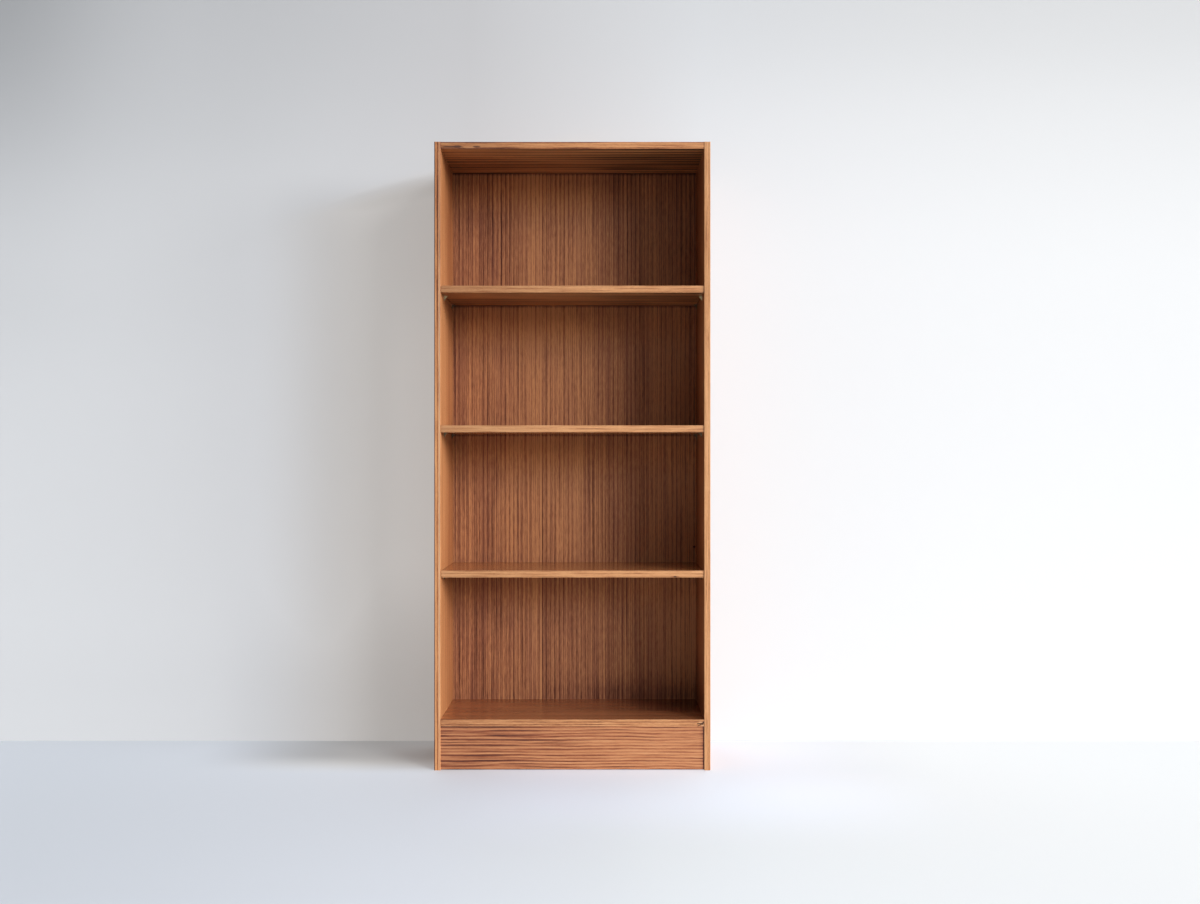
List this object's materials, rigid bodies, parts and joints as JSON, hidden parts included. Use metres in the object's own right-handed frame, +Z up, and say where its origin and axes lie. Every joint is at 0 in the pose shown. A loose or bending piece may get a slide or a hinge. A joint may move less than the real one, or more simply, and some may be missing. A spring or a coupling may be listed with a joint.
{
  "type": "bookcase",
  "caption": "Tall open bookcase in wood veneer with solid lippings, fixed top and bottom, loose shelves on steel supports, a set-back plinth and a thin back panel in grooves.",
  "frame": {"origin": "on the floor, under the middle of the case", "axes": "+X to the right seen from the front, +Y to the rear, +Z up"},
  "size_m": [0.8, 0.3, 1.82],
  "materials": {
    "side_veneer": "satin lacquered veneer",
    "board_veneer": "satin lacquered veneer",
    "lipping_wood": "satin lacquered solid wood",
    "plinth_wood": "satin lacquered wood",
    "back_veneer": "satin lacquered striped veneer",
    "dowel_beech": "bare beech",
    "support_nickel": "nickel-plated",
    "cam_zinc": "bare die-cast zinc",
    "fastener_steel": "zinc-plated",
    "cap_plastic": "brown plastic"
  },
  "bodies": {
    "carcass": {"side_panel_left": "side_veneer", "side_panel_right": "side_veneer", "side_lipping_left": "lipping_wood", "side_lipping_right": "lipping_wood", "top_board": "board_veneer", "top_lipping": "lipping_wood", "bottom_board": "board_veneer", "bottom_lipping": "lipping_wood", "plinth_board": "plinth_wood", "back_panel": "back_veneer", "upper_shelf_supports": "support_nickel", "middle_shelf_supports": "support_nickel", "lower_shelf_supports": "support_nickel", "top_cam_discs": "cam_zinc", "bottom_cam_discs": "cam_zinc", "plinth_cam_discs": "cam_zinc", "top_cam_bolts": "fastener_steel", "bottom_cam_bolts": "fastener_steel", "plinth_cam_bolts": "fastener_steel", "cam_caps": "cap_plastic", "top_dowels": "dowel_beech", "bottom_dowels": "dowel_beech", "plinth_dowels": "dowel_beech", "back_panel_screws": "fastener_steel"},
    "upper_shelf": {"upper_shelf_board": "board_veneer", "upper_shelf_lipping": "lipping_wood"},
    "middle_shelf": {"middle_shelf_board": "board_veneer", "middle_shelf_lipping": "lipping_wood"},
    "lower_shelf": {"lower_shelf_board": "board_veneer", "lower_shelf_lipping": "lipping_wood"}
  },
  "joints": [
    {"name": "upper_shelf_slide", "type": "slide", "parent": "carcass", "child": "upper_shelf", "axis": [0, -1, 0], "range_m": [0, 0.3]},
    {"name": "middle_shelf_slide", "type": "slide", "parent": "carcass", "child": "middle_shelf", "axis": [0, -1, 0], "range_m": [0, 0.3]},
    {"name": "lower_shelf_slide", "type": "slide", "parent": "carcass", "child": "lower_shelf", "axis": [0, -1, 0], "range_m": [0, 0.3]}
  ]
}
